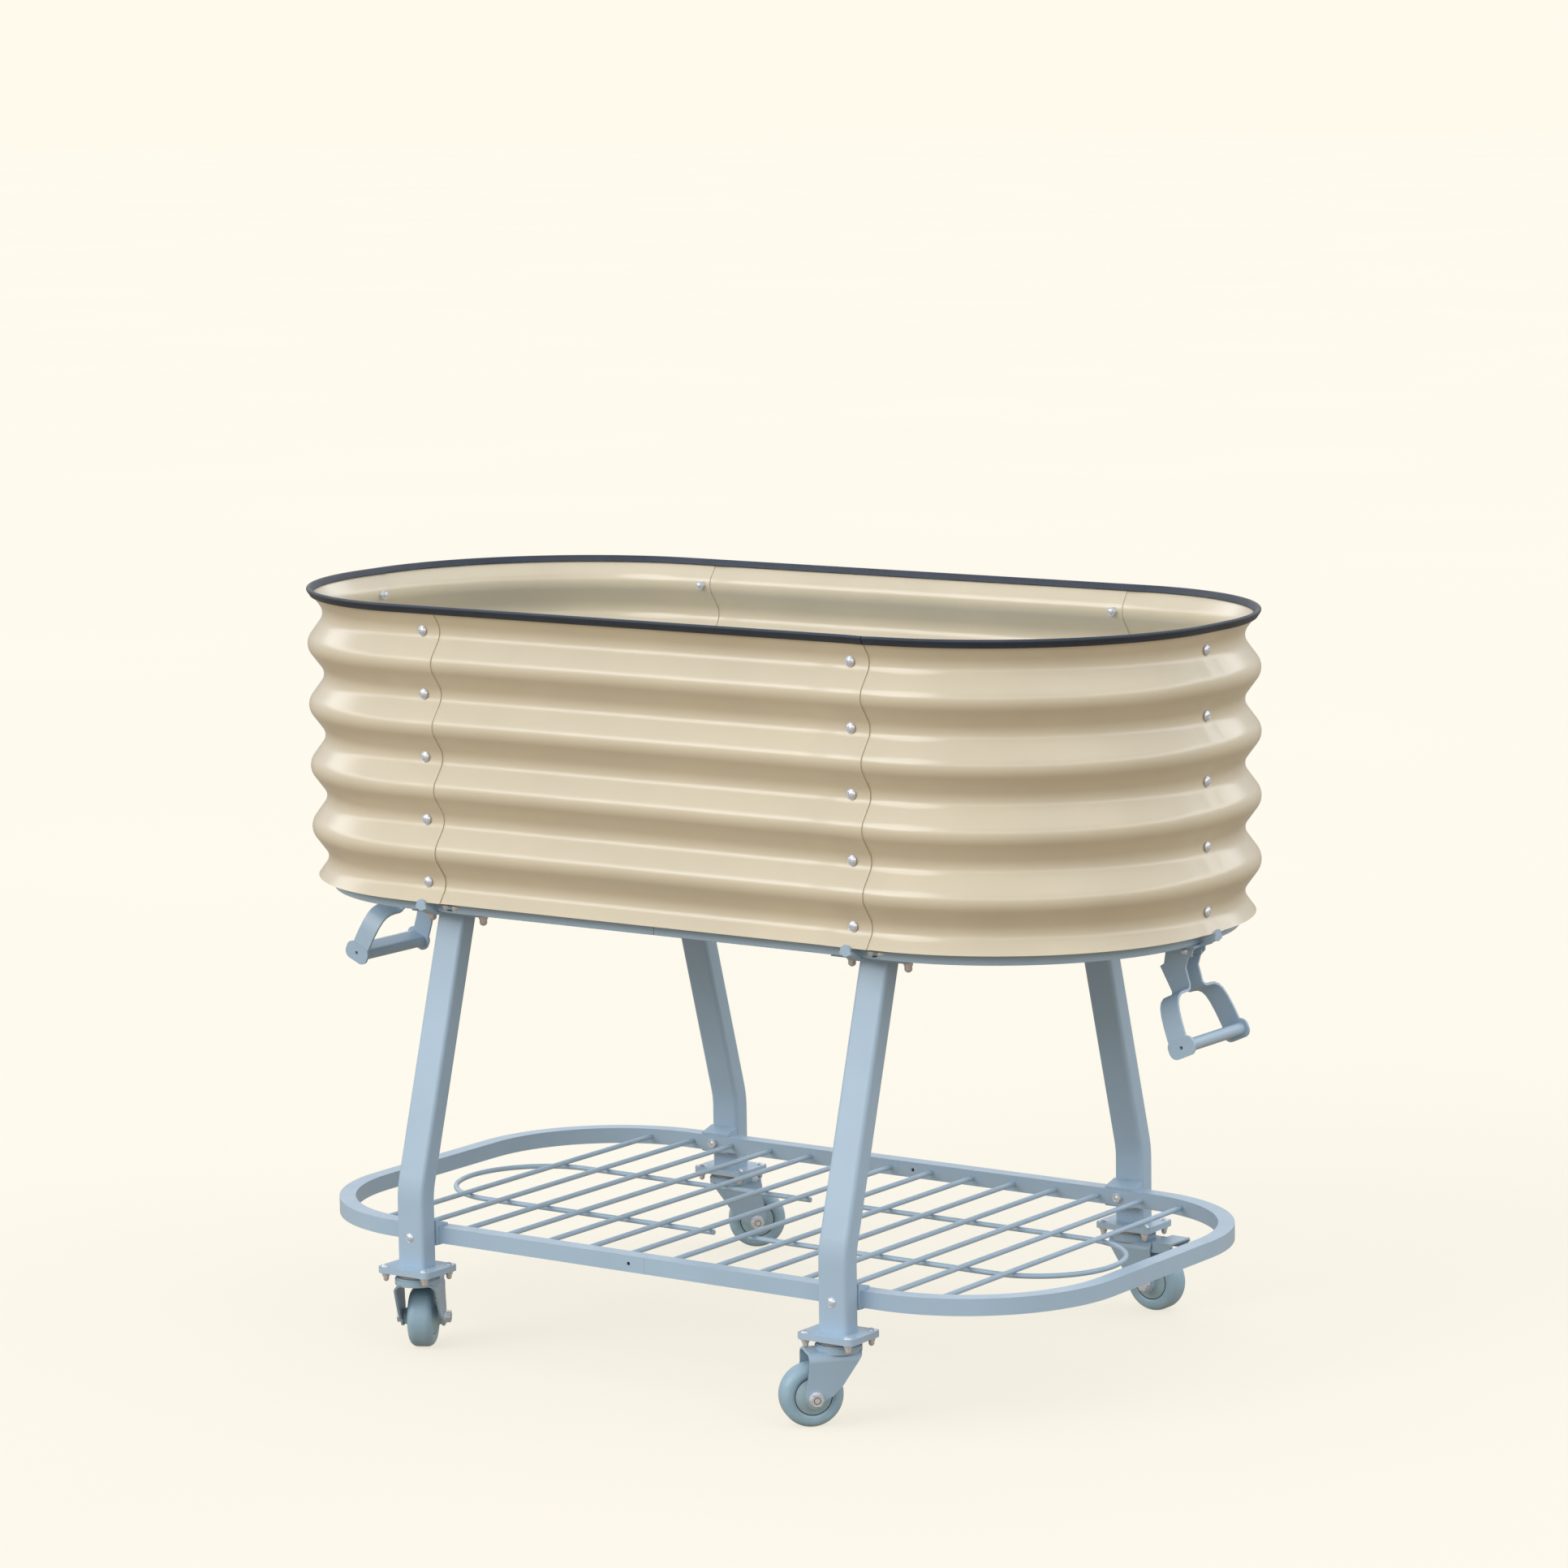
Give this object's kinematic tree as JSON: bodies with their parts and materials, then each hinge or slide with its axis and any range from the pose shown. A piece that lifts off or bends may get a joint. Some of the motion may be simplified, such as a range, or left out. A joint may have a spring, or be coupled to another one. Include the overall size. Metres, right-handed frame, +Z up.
{
  "type": "raised planter",
  "caption": "Oval raised planter of ribbed sheet steel on four splayed legs, with a wire shelf, lifting handles at both ends and braked swivel casters.",
  "frame": {"origin": "middle of the planter's length and width, on the floor under the wheels", "axes": "+Z up, +X along the length to the right, -Y is the front"},
  "size_m": [1.1922, 0.7184, 0.8613],
  "materials": {
    "wall": "semi-gloss ivory enamel",
    "trim": "satin slate",
    "frame": "satin light blue powder coat",
    "caster_frame": "satin light blue powder coat",
    "insert": "zinc plated",
    "fastener": "bright plated",
    "tread": "matte grey-blue",
    "hub": "matte"
  },
  "bodies": {
    "planter": {"side_panel_front": "wall", "side_panel_back": "wall", "corner_panel_fr": "wall", "corner_panel_br": "wall", "corner_panel_bl": "wall", "corner_panel_fl": "wall", "panel_bolts": "fastener", "panel_nuts": "fastener", "rim_trim": "trim", "base_rail_left": "frame", "base_rail_right": "frame", "rail_sleeves": "insert", "cross_bars": "frame", "floor_tray_left": "frame", "floor_tray_right": "frame", "leg_brackets": "frame", "end_bracket_left": "frame", "end_bracket_right": "frame", "leg_fl": "frame", "leg_fr": "frame", "leg_bl": "frame", "leg_br": "frame", "frame_bolts": "fastener", "frame_nuts": "fastener", "shelf_left": "frame", "shelf_right": "frame", "shelf_sleeves": "insert", "shelf_bolts": "fastener", "shelf_nuts": "fastener", "handle_strap_left_front": "frame", "handle_strap_left_back": "frame", "handle_grip_left": "frame", "handle_strap_right_front": "frame", "handle_strap_right_back": "frame", "handle_grip_right": "frame", "handle_bolts": "fastener", "caster_bolts": "fastener", "caster_nuts": "fastener", "caster_plates": "caster_frame"},
    "swivel_fl": {"fork_fl": "caster_frame", "axle_fl": "fastener"},
    "wheel_fl": {"tyre_fl": "tread", "hub_fl": "hub"},
    "swivel_fr": {"fork_fr": "caster_frame", "axle_fr": "fastener"},
    "wheel_fr": {"tyre_fr": "tread", "hub_fr": "hub"},
    "swivel_bl": {"fork_bl": "caster_frame", "axle_bl": "fastener"},
    "wheel_bl": {"tyre_bl": "tread", "hub_bl": "hub"},
    "swivel_br": {"fork_br": "caster_frame", "axle_br": "fastener"},
    "wheel_br": {"tyre_br": "tread", "hub_br": "hub"},
    "pedal_fl": {"brake_fl": "caster_frame"},
    "pedal_br": {"brake_br": "caster_frame"}
  },
  "joints": [
    {"name": "swivel_fl", "type": "hinge", "parent": "planter", "child": "swivel_fl", "pos_m": [-0.293, -0.3075, 0.0885], "axis": [0, 0, 1], "continuous": true},
    {"name": "swivel_fr", "type": "hinge", "parent": "planter", "child": "swivel_fr", "pos_m": [0.293, -0.3075, 0.0885], "axis": [0, 0, 1], "continuous": true},
    {"name": "swivel_bl", "type": "hinge", "parent": "planter", "child": "swivel_bl", "pos_m": [-0.293, 0.3075, 0.0885], "axis": [0, 0, 1], "continuous": true},
    {"name": "swivel_br", "type": "hinge", "parent": "planter", "child": "swivel_br", "pos_m": [0.293, 0.3075, 0.0885], "axis": [0, 0, 1], "continuous": true},
    {"name": "roll_fl", "type": "hinge", "parent": "swivel_fl", "child": "wheel_fl", "pos_m": [-0.30827, -0.27995, 0.035], "axis": [-0.8746, -0.4848, 0], "continuous": true},
    {"name": "roll_fr", "type": "hinge", "parent": "swivel_fr", "child": "wheel_fr", "pos_m": [0.27192, -0.33091, 0.035], "axis": [0.7431, -0.6691, 0], "continuous": true},
    {"name": "roll_bl", "type": "hinge", "parent": "swivel_bl", "child": "wheel_bl", "pos_m": [-0.26784, 0.32646, 0.035], "axis": [-0.6018, 0.7986, 0], "continuous": true},
    {"name": "roll_br", "type": "hinge", "parent": "swivel_br", "child": "wheel_br", "pos_m": [0.32448, 0.3064, 0.035], "axis": [0.0349, 0.9994, 0], "continuous": true},
    {"name": "brake_fl", "type": "hinge", "parent": "swivel_fl", "child": "pedal_fl", "pos_m": [-0.30948, -0.27776, 0.0755], "axis": [-0.8746, -0.4848, 0], "range_deg": [0, 8]},
    {"name": "brake_br", "type": "hinge", "parent": "swivel_br", "child": "pedal_br", "pos_m": [0.32698, 0.30631, 0.0755], "axis": [0.0349, 0.9994, 0], "range_deg": [0, 8]}
  ]
}
